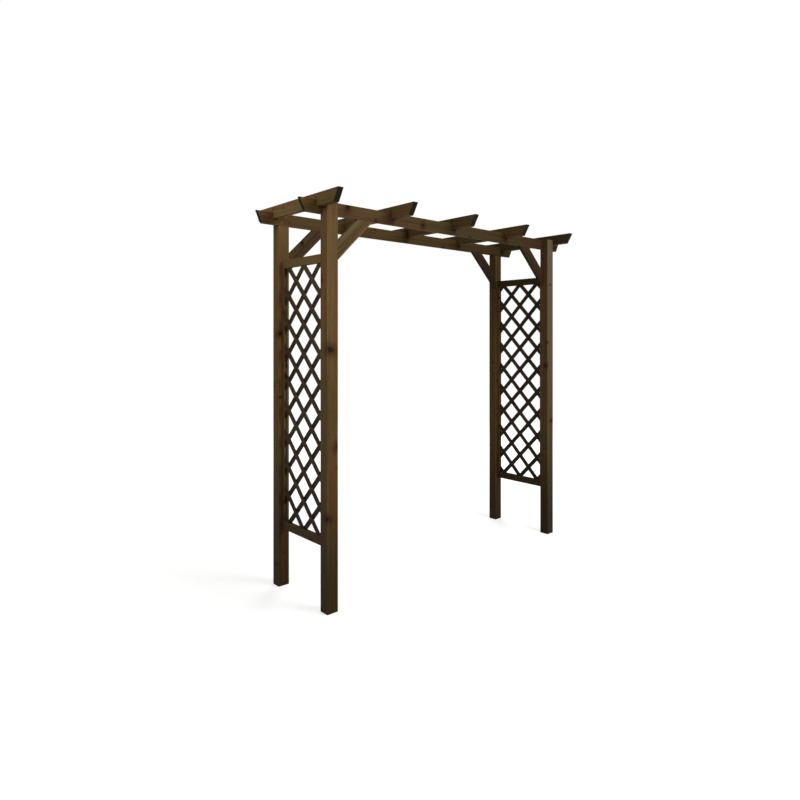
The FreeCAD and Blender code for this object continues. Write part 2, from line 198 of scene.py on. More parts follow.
class StageSettings(bpy.types.PropertyGroup):
    """The camera, the lamps and the floor."""

    camera_x: position("Camera X", "Camera to the right of the middle", -2.8075)
    camera_y: position("Camera Y", "Camera behind the middle", -3.0425)
    camera_z: position("Camera height", "Camera above the ground", 1.4699)
    camera_turn: FloatProperty(name="Camera turn", description="From straight ahead to the right",
                               default=math.radians(43.65), subtype="ANGLE")
    camera_lens: FloatProperty(name="Lens", description="Focal length of the camera",
                               default=27.596, min=1.0, unit="CAMERA")
    shift_x: FloatProperty(name="Shift X", description="Camera shift sideways", default=-0.04933)
    shift_y: FloatProperty(name="Shift Y", description="Camera shift upwards", default=-0.07851)
    side_lamp: power("Side lamp", "Soft lamp at the left", 17.0)
    front_lamp: power("Front lamp", "Soft lamp above the front", 124.0)
    back_lamp: power("Back lamp", "Soft lamp behind at the right", 140.0)
    daylight: share_of("Daylight", "Strength of the even light from all round", 0.20)
    floor: colour("Floor", "Colour of the floor", (0.62, 0.62, 0.61))
    near_lift: share_of("Near lift", "How much paler the floor looks than it is lit, near by", 0.58)
    far_lift: share_of("Far lift", "The same far away, where no lamp lights it", 0.90)
    lift_reach: length("Lift reach", "Distance at which the floor has the far lift", 5.0)


# ---- Shaping ------------------------------------------------------------------------------


def only(*things):
    """Select these objects and nothing else, and make the first one active."""
    if bpy.context.object and bpy.context.object.mode != "OBJECT":
        bpy.ops.object.mode_set(mode="OBJECT")
    bpy.ops.object.select_all(action="DESELECT")
    for thing in things:
        thing.select_set(True)
    bpy.context.view_layer.objects.active = things[0]


def settle(piece):
    """Move a piece's place, turn and size into its mesh."""
    only(piece)
    bpy.ops.object.transform_apply(location=True, rotation=True, scale=True)
    return piece


def added(name):
    """Name the piece that was just made, and settle it."""
    piece = bpy.context.object
    piece.name = name
    piece.data.name = name
    return settle(piece)


@contextmanager
def editing(piece):
    """Edit mode on one piece, with nothing selected."""
    only(piece)
    bpy.ops.object.mode_set(mode="EDIT")
    bpy.ops.mesh.select_all(action="DESELECT")
    yield
    bpy.ops.object.mode_set(mode="OBJECT")


def pick(kind, test):
    """Select the faces, edges or verts that pass a test, in edit mode."""
    mode = {"verts": "VERT", "edges": "EDGE", "faces": "FACE"}[kind]
    bpy.ops.mesh.select_mode(type=mode)
    data = bpy.context.object.data
    mesh = bmesh.from_edit_mesh(data)
    for item in getattr(mesh, kind):
        if test(item):
            item.select_set(True)
    mesh.select_flush_mode()
    bmesh.update_edit_mesh(data)


def block(name, low, high):
    """A block between its lowest and highest corners."""
    low, high = Vector(low), Vector(high)
    bpy.ops.mesh.primitive_cube_add(size=1, location=(low + high) / 2, scale=high - low)
    return added(name)


def turn_to(direction, sideways=None):
    """The turn that points Z along direction, and X as near as it can to sideways."""
    z = Vector(direction).normalized()
    x = Vector(sideways) if sideways else z.orthogonal()
    x = (x - z * x.dot(z)).normalized()
    return Matrix((x, z.cross(x), z)).transposed().to_euler()


def round_edges(piece, along, radius, segments=3):
    """Round the square edges of a board that run along its length."""
    def runs_along(edge):
        run = (edge.verts[1].co - edge.verts[0].co).normalized()
        return abs(run.dot(along)) > PARALLEL and edge.calc_face_angle(0) > 1

    with editing(piece):
        pick("edges", runs_along)
        bpy.ops.mesh.bevel(offset=radius, segments=segments, affect="EDGES")


def ease_ends(piece, along, amount):
    """Take the sharpness off the edges of a board's two ends."""
    def bounds_end(edge):
        ends = [abs(face.normal.dot(along)) > SQUARE_TO for face in edge.link_faces]
        return len(ends) == 2 and ends[0] != ends[1]

    with editing(piece):
        pick("edges", bounds_end)
        bpy.ops.mesh.bevel(offset=amount, segments=2, affect="EDGES")


def slope_tails(piece, along, cut):
    """Draw in the lower corners of both ends of a board."""
    low = min(corner[2] for corner in piece.bound_box)
    for side in (-1, 1):
        with editing(piece):
            pick("verts", lambda v: v.co.dot(along) * side > 0 and v.co.z < low + SPARE)
            bpy.ops.transform.translate(value=along * (-side * cut))


def volume(piece):
    mesh = bmesh.new()
    mesh.from_mesh(piece.data)
    amount = mesh.calc_volume()
    mesh.free()
    return amount


def combine(piece, tool, operation):
    """Cut a piece with a tool, or keep what lies in it, and delete the tool."""
    change = piece.modifiers.new("Shape", "BOOLEAN")
    change.operation = operation
    change.solver = "EXACT"
    change.object = tool
    only(piece)
    bpy.ops.object.modifier_apply(modifier=change.name)
    bpy.data.objects.remove(tool)


def carve(piece, *tools):
    """Cut a piece with tools, and stop if a cut did nothing or took far too much."""
    least, most = KEPT_BY_CUT
    for tool in tools:
        before, corners = volume(piece), len(piece.data.vertices)
        combine(piece, tool, "DIFFERENCE")
        share = volume(piece) / before
        if len(piece.data.vertices) == corners or not least < share < most:
            raise RuntimeError(f"a cut in {piece.name} went wrong")


def joined(name, pieces):
    """Join pieces into one mesh."""
    only(*pieces)
    bpy.ops.object.join()
    return added(name)


def copied(piece, name, move=(0, 0, 0), turned=False):
    """A copy with its own mesh, moved, then turned half round the arch's middle."""
    only(piece)
    bpy.ops.object.duplicate()
    twin = bpy.context.object
    bpy.ops.transform.translate(value=move)
    if turned:
        bpy.ops.transform.rotate(value=math.pi, orient_axis="Z", center_override=(0, 0, 0))
    return added(name)


def at_four_corners(first, stem, middle_x):
    """A board at the front left corner, and its copies at the other three, by corner."""
    across = (-2 * middle_x, 0, 0)
    return {"front_left": first,
            "front_right": copied(first, f"{stem}_front_right_wood", across),
            "back_right": copied(first, f"{stem}_back_right_wood", turned=True),
            "back_left": copied(first, f"{stem}_back_left_wood", across, turned=True)}


def drying_check(middle, along, out, long):
    """A cutter for a drying check: a long thin wedge that wanders from side to side."""
    sizes = bpy.context.scene.arch_timber
    proud = sizes.check_deep * 0.12
    bpy.ops.mesh.primitive_uv_sphere_add(
        segments=4, ring_count=24, radius=1, rotation=turn_to(along, out),
        location=middle + out * proud,
        scale=(sizes.check_deep, sizes.check_wide / 2, long / 2))
    cutter = added("check")
    clouds = bpy.data.textures.get("wander") or bpy.data.textures.new("wander", "CLOUDS")
    clouds.noise_scale = CHECK_WAVE
    wander = cutter.modifiers.new("Wander", "DISPLACE")
    wander.texture = clouds
    wander.texture_coords = "LOCAL"
    wander.direction = max("XYZ", key=lambda axis: abs(out.cross(along)["XYZ".index(axis)]))
    wander.strength = sizes.check_wander
    bpy.ops.object.modifier_apply(modifier=wander.name)
    return cutter


def screw_pocket(point, inward, deep):
    """A cutter for the round pocket that a screw's head lies in."""
    fixings = bpy.context.scene.arch_fixings
    room = fixings.head_sink        # kept under the head's flat face too
    bpy.ops.mesh.primitive_cylinder_add(
        vertices=24, radius=fixings.head_wide / 2 + fixings.head_play, depth=deep + room,
        location=point - inward * ((deep - room) / 2), rotation=turn_to(inward))
    return added("pocket")


# ---- Finishes -----------------------------------------------------------------------------


class Wiring:
    """A node tree, with one short call for each node that is added to it."""

    def __init__(self, tree):
        self.tree = tree

    def node(self, kind, inputs=None, **settings):
        node = self.tree.nodes.new(kind)
        for name, value in settings.items():
            setattr(node, name, value)
        for socket, value in (inputs or {}).items():
            if isinstance(value, bpy.types.NodeSocket):
                self.tree.links.new(value, node.inputs[socket])
            else:
                node.inputs[socket].default_value = value
        return node

    def add(self, kind, inputs=None, output=0, **settings):
        """Add a node and hand back one of its outputs."""
        return self.node(kind, inputs, **settings).outputs[output]

    def math(self, operation, first, second=0.0):
        return self.add("ShaderNodeMath", {0: first, 1: second}, operation=operation)

    def plus(self, first, second):
        return self.math("ADD", first, second)

    def minus(self, first, second):
        return self.math("SUBTRACT", first, second)

    def times(self, *shares):
        total = shares[0]
        for share in shares[1:]:
            total = self.math("MULTIPLY", total, share)
        return total

    def over(self, first, second):
        return self.math("DIVIDE", first, second)

    def hypotenuse(self, first, second):
        return self.math("SQRT", self.plus(self.times(first, first), self.times(second, second)))

    def attribute(self, name, output="Fac"):
        """A piece's own attribute, as a number unless the output says otherwise."""
        return self.add("ShaderNodeAttribute", output=output, attribute_name=name)

    def place(self):
        """The point's place on the arch."""
        return self.add("ShaderNodeTexCoord", output="Object")

    def stretch(self, place, across, along):
        """Scale a place in the tree, by a number of waves a metre across the grain and along it."""
        return self.add("ShaderNodeVectorMath", {0: place, 1: (across, across, along)},
                        operation="MULTIPLY")

    def noise(self, place, detail=2.0, output="Fac"):
        return self.add("ShaderNodeTexNoise", {"Vector": place, "Scale": 1.0, "Detail": detail},
                        output=output)

    def fade(self, value, start, end, low=0.0, high=1.0):
        return self.add("ShaderNodeMapRange", {0: value, 1: start, 2: end, 3: low, 4: high},
                        interpolation_type="SMOOTHSTEP")

    def around(self, value, least, most):
        """Spread a value that is mostly near its middle between two shares."""
        return self.fade(value, 0.25, 0.75, least, most)

    def relief(self, strength, deep, height):
        return self.add("ShaderNodeBump", {"Strength": strength, "Distance": deep, "Height": height})

    def split(self, vector):
        return self.node("ShaderNodeSeparateXYZ", {0: vector}).outputs

    def vector(self, x, y, z):
        return self.add("ShaderNodeCombineXYZ", {0: x, 1: y, 2: z})

    def mix(self, share, first, second):
        """Mix two colours, which the node keeps apart from its numbers by their socket places."""
        return self.add("ShaderNodeMix", {0: share, 6: first, 7: second}, output=2,
                        data_type="RGBA")

    def dim(self, tint, share):
        return self.add("ShaderNodeVectorMath", {0: tint, "Scale": share}, operation="SCALE")


def rgba(tint):
    return (*tint, 1.0)


def new_group(name, inputs, outputs):
    """A node group with its sockets, and the wiring to fill it."""
    group = bpy.data.node_groups.new(name, "ShaderNodeTree")
    for label, kind in inputs:
        group.interface.new_socket(label, in_out="INPUT", socket_type=f"NodeSocket{kind}")
    for label in outputs:
        group.interface.new_socket(label, in_out="OUTPUT", socket_type="NodeSocketFloat")
    wires = Wiring(group)
    return group, wires, wires.node("NodeGroupInput").outputs


def knot_pattern():
    """One knot in each stretch of the tree, running outwards from its heart."""
    group, wires, given = new_group(
        "Knots", (("Grain", "Vector"), ("Spacing", "Float"), ("Size", "Float"), ("Seed", "Float")),
        ("Core", "Halo", "Push", "Reach"))
    u, v, w = wires.split(given["Grain"])
    stretch = wires.plus(wires.over(w, given["Spacing"]), given["Seed"])
    cell = wires.math("FLOOR", stretch)
    chance = wires.add("ShaderNodeTexWhiteNoise", {"W": wires.plus(cell, given["Seed"])},
                       output="Color", noise_dimensions="1D")
    turn, slide, swell = wires.split(chance)
    # Out from the heart, sideways from the knot's own line, and up along the tree.
    angle = wires.times(turn, math.tau)
    cosine = wires.math("COSINE", angle)
    sine = wires.math("SINE", angle)
    out = wires.plus(wires.times(u, cosine), wires.times(v, sine))
    side = wires.minus(wires.times(v, cosine), wires.times(u, sine))
    rise = wires.minus(wires.math("FRACT", stretch), 0.5)
    rise = wires.minus(rise, wires.times(wires.minus(slide, 0.5), 0.5))
    rise = wires.times(rise, given["Spacing"])
    rise = wires.minus(rise, wires.times(out, KNOT_LEAN))
    radius = wires.times(given["Size"], wires.plus(swell, 0.4))
    radius = wires.times(radius, wires.fade(out, 0.0, 0.05, 0.3, 1.0))
    reach = wires.over(wires.hypotenuse(side, rise), wires.math("MAXIMUM", radius, THINNEST_KNOT))
    ragged = wires.noise(wires.stretch(given["Grain"], 260.0, 200.0))
    reach = wires.times(reach, wires.around(ragged, 0.70, 1.30))
    outward = wires.math("GREATER_THAN", out, 0.0)
    core = wires.times(wires.fade(reach, 1.0, 0.45), outward)
    halo = wires.times(wires.fade(reach, 3.0, 0.7), outward)
    push = wires.times(halo, halo, radius)
    wires.node("NodeGroupOutput", {"Core": core, "Halo": halo, "Push": push, "Reach": reach})
    return group


def timber_pattern(knots):
    """Growth rings, fibres, patches and knots, from a point's place in its tree."""
    group, wires, given = new_group(
        "Timber", (("Grain", "Vector"),),
        ("Ring", "Fibre", "Streak", "Patch", "Core", "Halo", "Tone"))
    grain = given["Grain"]
    large, small = [wires.node("ShaderNodeGroup", {"Grain": grain, **kind}, node_tree=knots).outputs
                    for kind in (LARGE_KNOTS, SMALL_KNOTS)]
    core = wires.math("MAXIMUM", large["Core"], small["Core"])
    halo = wires.math("MAXIMUM", large["Halo"], small["Halo"])
    push = wires.plus(large["Push"], small["Push"])
    # The heart wanders as the tree grows, so that rings run out of a face in long arches.
    sway = wires.split(wires.noise(wires.stretch(grain, 1.0, 1.3), 1.0, output="Color"))
    u, v, w = wires.split(grain)
    near_u = wires.plus(u, wires.times(wires.minus(sway[0], 0.5), HEART_SWAY))
    near_v = wires.plus(v, wires.times(wires.minus(sway[1], 0.5), HEART_SWAY))
    ripple = wires.noise(wires.stretch(grain, 30.0, 2.5))
    radius = wires.plus(wires.hypotenuse(near_u, near_v), wires.times(ripple, RING_RIPPLE))
    growth = wires.math("FRACT", wires.over(wires.plus(radius, push), RING_WIDE))
    ring = wires.times(wires.math("POWER", growth, 2.5), wires.fade(growth, 1.0, 0.93))
    # Knots have rings of their own, tight round their middle.
    inside = wires.math("FRACT", wires.times(large["Reach"], 3.0))
    ring = wires.plus(wires.times(ring, wires.minus(1.0, core)), wires.times(inside, core))
    fibre = wires.noise(wires.stretch(grain, 700.0, 13.0))
    streak = wires.noise(wires.stretch(grain, 75.0, 1.8), 3.0)
    patch = wires.noise(wires.stretch(grain, 42.0, 1.2), 1.0)
    board = wires.math("FLOOR", wires.over(w, TREE_SLOT))
    tone = wires.add("ShaderNodeTexWhiteNoise", {"W": board}, noise_dimensions="1D")
    wires.node("NodeGroupOutput", {"Ring": ring, "Fibre": fibre, "Streak": streak, "Patch": patch,
                                   "Core": core, "Halo": halo, "Tone": tone})
    return group


def new_material(name):
    """A material and the wiring of its emptied node tree."""
    material = bpy.data.materials.new(name)
    material.use_nodes = True
    material.node_tree.nodes.clear()
    return material, Wiring(material.node_tree)


def close_material(wires, surface, **constants):
    """Add the shader and output; constants go straight to the shader's own sockets."""
    shader = wires.node("ShaderNodeBsdfPrincipled", surface)
    for label, value in constants.items():
        shader.inputs[label.replace("_", " ")].default_value = value
    wires.node("ShaderNodeOutputMaterial", {"Surface": shader.outputs[0]})


def read_timber(wires, pattern):
    """The timber pattern at the board's own grain, as named sockets."""
    grain = wires.attribute("grain", output="Vector")
    return wires.node("ShaderNodeGroup", {"Grain": grain}, node_tree=pattern).outputs


def stained_timber(name, pattern, tint=None):
    """Stained softwood on its long faces, darkened for laths by a tint of darker stain and painted
    shade.
    """
    stain = bpy.context.scene.arch_stain
    material, wires = new_material(name)
    wood = read_timber(wires, pattern)
    height = wires.split(wires.place())[2]
    base = wires.mix(wires.fade(wood["Patch"], 0.34, 0.50), rgba(stain.olive), rgba(stain.brown))
    base = wires.mix(wires.fade(wood["Patch"], 0.50, 0.66), base, rgba(stain.russet))
    # Paler rounded edges: worn stain and a painted highlight.
    wear = wires.times(wires.attribute("wear"), wires.around(wood["Streak"], 0.0, 0.45))
    base = wires.mix(wear, base, rgba(stain.worn_highlit))
    # Painted sheen on the listed faces, stronger towards the top.
    bleach = wires.times(wires.attribute("bleach"), wires.fade(height, 0.6, 2.1, 0.25, 0.75))
    base = wires.mix(bleach, base, rgba(stain.sheen_colour))
    base = wires.mix(wires.times(wood["Halo"], 0.75), base, rgba(stain.halo))
    base = wires.mix(wires.times(wood["Core"], 0.9), base, rgba(stain.knot))
    base = wires.dim(base, wires.times(
        wires.minus(1.0, wires.times(wood["Ring"], 0.12)),
        wires.around(wood["Fibre"], 0.87, 1.13),
        wires.around(wood["Streak"], 0.82, 1.17),
        wires.plus(wires.times(wood["Tone"], 0.16), 0.92),
        # The board's stain share, with painted light and shade in it.
        wires.attribute("soak"),
        # Darker towards the ground: partly damp, partly painted shade low down.
        wires.fade(height, 0.0, 1.0, stain.ground_damp_and_shade, 1.0)))
    if tint:
        base = wires.add("ShaderNodeVectorMath", {0: base, 1: tint}, operation="MULTIPLY")
    relief = wires.plus(wires.times(wood["Ring"], 0.5), wires.times(wood["Fibre"], 0.7))
    rough = wires.minus(wires.around(wood["Fibre"], 0.74, 0.54), wires.times(wood["Ring"], 0.08))
    close_material(wires, {"Base Color": base, "Roughness": rough,
                           "Normal": wires.relief(0.45, GRAIN_RELIEF, relief)},
                   Specular_IOR_Level=TIMBER_SHINE)
    return material


def stained_ends(name, pattern):
    """End grain: darker, with its rings and fine radial checks."""
    stain = bpy.context.scene.arch_stain
    material, wires = new_material(name)
    wood = read_timber(wires, pattern)
    u, v, w = wires.split(wires.attribute("grain", output="Vector"))
    angle = wires.math("ARCTAN2", v, u)
    spokes = wires.noise(wires.vector(wires.times(angle, 22.0),
                                      wires.times(wires.hypotenuse(u, v), 30.0), w))
    crack = wires.fade(spokes, 0.66, 0.70)
    share = wires.times(wires.around(wood["Ring"], 1.35, 0.65),
                        wires.around(wood["Fibre"], 0.75, 1.25),
                        wires.minus(1.0, wires.times(crack, 0.7)))
    base = wires.dim(wires.mix(wood["Core"], rgba(stain.end), rgba(stain.knot)), share)
    relief = wires.minus(wires.times(wood["Ring"], 0.5), crack)
    close_material(wires, {"Base Color": base, "Roughness": wires.around(wood["Fibre"], 0.70, 0.88),
                           "Normal": wires.relief(0.6, GRAIN_RELIEF, relief)},
                   Specular_IOR_Level=TIMBER_SHINE)
    return material


def weathered_steel(name):
    """Plated steel that has dulled and begun to rust."""
    stain = bpy.context.scene.arch_stain
    material, wires = new_material(name)
    place = wires.place()
    blotch = wires.noise(wires.stretch(place, 420.0, 420.0), 3.0)
    speck = wires.noise(wires.stretch(place, 2600.0, 2600.0))
    rust = wires.fade(blotch, 0.42, 0.56)
    base = wires.dim(wires.mix(rust, rgba(stain.steel), rgba(stain.rust)),
                     wires.around(speck, 0.85, 1.15))
    close_material(wires, {"Base Color": base, "Normal": wires.relief(0.3, 0.0001, speck),
                           "Roughness": wires.fade(blotch, 0.40, 0.65, 0.36, 0.72),
                           "Metallic": wires.fade(rust, 0.0, 1.0, 1.0, 0.35)})
    return material


def finish_named(slot):
    """The arch's finish for a slot, made the first time that it is asked for."""
    name = f"{slot}_finish"
    if name in bpy.data.materials:
        return bpy.data.materials[name]
    if slot == "weathered_steel":
        return weathered_steel(name)
    if "Timber" not in bpy.data.node_groups:
        timber_pattern(knot_pattern())
    pattern = bpy.data.node_groups["Timber"]
    if slot == "end_grain":
        return stained_ends(name, pattern)
    if slot == "stained_lath":
        # Laths take their tint: darker stain and painted shade.
        return stained_timber(name, pattern, tuple(bpy.context.scene.arch_stain.lath))
    return stained_timber(name, pattern)


def smooth(piece):
    """Smooth the rounded edges and keep the flat faces flat."""
    only(piece)
    bpy.ops.object.shade_smooth_by_angle(angle=SMOOTH_ANGLE)
    even = piece.modifiers.new("Flat faces", "WEIGHTED_NORMAL")
    even.keep_sharp = True
    bpy.ops.object.modifier_apply(modifier=even.name)


def hand_over(piece, node):
    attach(piece, BODY)
    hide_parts(node)


def finish_wood(piece, node, along, slot="stained_timber", board_at=None):
    """Stain a board: grain, end grain, worn edges with a painted highlight, a painted sheen.

    board_at gives the grain slot for a point, where one piece holds several boards.
    """
    mesh = piece.data
    along = Vector(along).normalized()
    across = Vector((along.y, along.z, along.x)).cross(along).normalized()
    other = along.cross(across)
    own = list(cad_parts).index(node)
    middle = sum((Vector(corner) for corner in piece.bound_box), Vector()) / 8
    grain = mesh.attributes.new("grain", "FLOAT_VECTOR", "POINT")
    places = []
    for vertex in mesh.vertices:
        board = board_at(vertex.co) if board_at else own
        angle = board * GOLDEN_ANGLE
        heart = HEART_NEAR + HEART_SPREAD * (board * GOLDEN_SHARE % 1)
        offset = vertex.co - middle
        places += (offset.dot(across) + heart * math.cos(angle),
                   offset.dot(other) + heart * math.sin(angle),
                   offset.dot(along) - SLID.get(node, 0.0) + (board + 0.5) * TREE_SLOT)
    grain.data.foreach_set("vector", places)
    mesh.materials.clear()
    mesh.materials.append(finish_named(slot))
    mesh.materials.append(finish_named("end_grain"))
    wear, bleach = [], []
    # Faces that get the painted sheen.
    sheen_side = SHEEN_FACES.get(node, Vector())
    for face in mesh.polygons:
        parts = [abs(face.normal.dot(axis)) for axis in (along, across, other)]
        face.material_index = int(parts[0] > SQUARE_TO)
        # Rounded edges get the worn stain and its painted highlight.
        wear.append(float(max(parts) < ON_FLAT))
        bleach.append(float(face.normal.dot(sheen_side) > SHEEN_FACING))
    mesh.attributes.new("wear", "FLOAT", "FACE").data.foreach_set("value", wear)
    mesh.attributes.new("bleach", "FLOAT", "FACE").data.foreach_set("value", bleach)
    # Stain share along the board, with painted light and shade in it.
    start, end = SOAKED_AND_SHADED.get(node, (1.0, 1.0))
    reach = [(vertex.co - middle).dot(along) for vertex in mesh.vertices]
    long = max(reach) - min(reach)
    soak = [start + (end - start) * (0.5 + place / long) for place in reach]
    mesh.attributes.new("soak", "FLOAT", "POINT").data.foreach_set("value", soak)
    smooth(piece)
    hand_over(piece, node)


# ---- Places that several pieces share -----------------------------------------------------


def post_middle():
    """The middle of the front left post."""
    low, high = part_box("post_front_left")
    return (low + high) / 2


def rail_screws():
    """Head, direction and length of each screw through the front left post into a rail."""
    fixings = bpy.context.scene.arch_fixings
    low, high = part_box("post_front_left")
    places = []
    for level in ("top", "bottom"):
        rail_low, rail_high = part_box(f"rail_{level}_left")
        head = Vector((post_middle().x, low.y + fixings.head_sink, (rail_low.z + rail_high.z) / 2))
        reach = high.y - low.y - fixings.head_sink + fixings.rail_bite
        places.append((head, ALONG_Y, reach))
    return places


def beam_screws():
    """The same for the screws through the front beam into both front posts."""
    fixings = bpy.context.scene.arch_fixings
    low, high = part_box("beam_front")
    reach = high.y - low.y - fixings.head_sink + fixings.beam_bite
    places = []
    for side, _ in LEFT_RIGHT:
        for step, level in ((-1, high.z - fixings.beam_edge), (1, low.z + fixings.beam_edge)):
            out = -post_middle().x + fixings.beam_side * step
            head = Vector((out * side, high.y - fixings.head_sink, level))
            places.append((head, -ALONG_Y, reach))
    return places


def brace_screws():
    """The same for the two screws of the front left brace."""
    fixings = bpy.context.scene.arch_fixings
    low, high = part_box("brace_front_left")
    wide = bpy.context.scene.arch_timber.brace_wide
    middle = (high.x - low.x) - wide / math.sqrt(2)
    depth = (low.y + high.y) / 2
    reach = fixings.brace_hold + fixings.brace_bite
    return [(Vector((low.x + fixings.brace_hold, depth, high.z - middle)), -ALONG_X, reach),
            (Vector((low.x + middle, depth, high.z - fixings.brace_hold)), UP, reach)]


def rafter_screws():
    """The same for the slanting screws of the leftmost rafter."""
    fixings = bpy.context.scene.arch_fixings
    low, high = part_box("rafter_1")
    slope = math.sqrt(0.5)
    drop = fixings.head_wide / 2 + fixings.head_sink
    reach = fixings.rafter_entry / slope - drop + fixings.rafter_bite
    places = []
    for face in ("front", "back"):
        beam_low, beam_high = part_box(f"beam_{face}")
        head = Vector((low.x + drop * slope, (beam_low.y + beam_high.y) / 2,
                       beam_high.z + fixings.rafter_entry - drop * slope))
        places.append((head, Vector((slope, 0, -slope)), reach))
    return places


def rafter_copies():
    """For each further rafter, its move from the first and whether it is turned round."""
    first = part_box("rafter_1")[0].x
    moves = {}
    for number in range(2, 6):
        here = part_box(f"rafter_{number}")[0].x
        turned = number > 3
        # A turned rafter is moved to the mirrored place first.
        start = -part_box(f"rafter_{number}")[1].x if turned else here
        moves[number] = ((start - first, 0, 0), turned)
    return moves


def lath_levels():
    """Where the laths of one layer cross the panel's upright middle line."""
    sizes = bpy.context.scene.arch_timber
    low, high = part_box("lattice_outer_left")
    reach = (high.z - low.z + high.y - low.y) / 2 - sizes.lath_wide
    count = int(reach / sizes.lath_pitch + 0.5)
    middle = (low.z + high.z) / 2
    return [middle + sizes.lath_pitch * (step + 0.5) for step in range(-count, count)]


# ---- The pieces ---------------------------------------------------------------------------


class ARCH_OT_posts(bpy.types.Operator):
    """Four square posts with rounded edges, rebates for the beams and drying checks"""
    bl_idname = "arch.posts"
    bl_label = "Posts"
    lowest_check = 0.28
    check_range = 1.35
    shortest_check = 0.16

    def execute(self, context):
        sizes = context.scene.arch_timber
        low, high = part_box("post_front_left")
        beam_low, beam_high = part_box("beam_front")
        first = block("post_front_left_wood", low, high)
        round_edges(first, UP, sizes.post_round, segments=4)
        ease_ends(first, UP, sizes.end_round)
        carve(first, block("rebate", (low.x - SPARE, beam_low.y, beam_low.z),
                           (high.x + SPARE, high.y + SPARE, high.z + SPARE)))
        for head, inward, _ in rail_screws():
            carve(first, screw_pocket(head, inward, SPARE))
        posts = at_four_corners(first, "post", post_middle().x)
        for number, (corner, post) in enumerate(posts.items()):
            self.open_checks(post, number)
            finish_wood(post, f"post_{corner}", UP)
        return {"FINISHED"}

    def open_checks(self, post, number):
        """One drying check on each face of a post."""
        low, high = Vector(post.bound_box[0]), Vector(post.bound_box[6])
        half = (high.x - low.x) / 2
        middle = (low + high) / 2
        faces = (-ALONG_X, -ALONG_Y, ALONG_X, ALONG_Y)
        for step in range(len(faces)):
            out = faces[(number + step) % len(faces)]
            share = (number * 0.37 + step * 0.29) % 1       # spreads the checks up the post
            # Up to half way from the middle of the face to its edge.
            side = out.cross(UP) * (half * 0.5 * math.sin(5.0 * share + number))
            place = middle + out * half + side
            place.z = self.lowest_check + self.check_range * share
            long = self.shortest_check + 0.26 * ((share * 7.3) % 1)
            carve(post, drying_check(place, UP, out, long))


class ARCH_OT_beams(bpy.types.Operator):
    """Two long beams with sloped tails"""
    bl_idname = "arch.beams"
    bl_label = "Beams"
    check_shares = (0.03, 0.34, 0.71, 0.955)    # where the drying checks lie along a beam

    def execute(self, context):
        sizes = context.scene.arch_timber
        low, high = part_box("beam_front")
        front = block("beam_front_wood", low, high)
        slope_tails(front, ALONG_X, sizes.beam_tail_cut)
        round_edges(front, ALONG_X, sizes.board_round)
        ease_ends(front, ALONG_X, sizes.end_round)
        for head, inward, _ in beam_screws():
            carve(front, screw_pocket(head, inward, SPARE))
        beams = {"beam_front": front, "beam_back": copied(front, "beam_back_wood", turned=True)}
        for number, (node, beam) in enumerate(beams.items()):
            out = -ALONG_Y if node == "beam_front" else ALONG_Y
            face = low.y if node == "beam_front" else -low.y
            for step, share in enumerate(self.check_shares):
                level = 0.35 + 0.12 * ((step + number) % 3)     # one of three levels, by turns
                place = Vector((low.x + (high.x - low.x) * share, face,
                                low.z + (high.z - low.z) * level))
                carve(beam, drying_check(place, ALONG_X, out, 0.13 + 0.05 * step))
            finish_wood(beam, node, ALONG_X)
        return {"FINISHED"}


class ARCH_OT_rafters(bpy.types.Operator):
    """Five rafters, notched over the beams"""
    bl_idname = "arch.rafters"
    bl_label = "Rafters"

    def execute(self, context):
        sizes = context.scene.arch_timber
        low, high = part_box("rafter_1")
        first = block("rafter_1_wood", low, high)
        slope_tails(first, ALONG_Y, sizes.rafter_tail_cut)
        round_edges(first, ALONG_Y, sizes.board_round)
        ease_ends(first, ALONG_Y, sizes.end_round)
        for face in ("front", "back"):
            beam_low, beam_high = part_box(f"beam_{face}")
            carve(first, block("notch",
                               (low.x - SPARE, beam_low.y - sizes.notch_play, low.z - SPARE),
                               (high.x + SPARE, beam_high.y + sizes.notch_play, beam_high.z)))
        for head, inward, _ in rafter_screws():
            carve(first, screw_pocket(head, inward, context.scene.arch_fixings.head_wide))
        rafters = {1: first}
        for number, (move, turned) in rafter_copies().items():
            rafters[number] = copied(first, f"rafter_{number}_wood", move, turned)
        for number, rafter in rafters.items():
            middle = (Vector(rafter.bound_box[0]) + Vector(rafter.bound_box[6])) / 2
            side = -1 if number % 2 else 1
            face = middle + ALONG_X * (side * (high.x - low.x) / 2)
            # From rafter to rafter, the drying checks lie further out and run longer.
            away, long = 0.13 + 0.035 * number, 0.10 + 0.02 * number
            for step in (-1, 1):
                place = face + ALONG_Y * (step * away) + UP * (step * 0.012)
                carve(rafter, drying_check(place, ALONG_Y, ALONG_X * side, long))
            finish_wood(rafter, f"rafter_{number}", ALONG_Y)
        return {"FINISHED"}


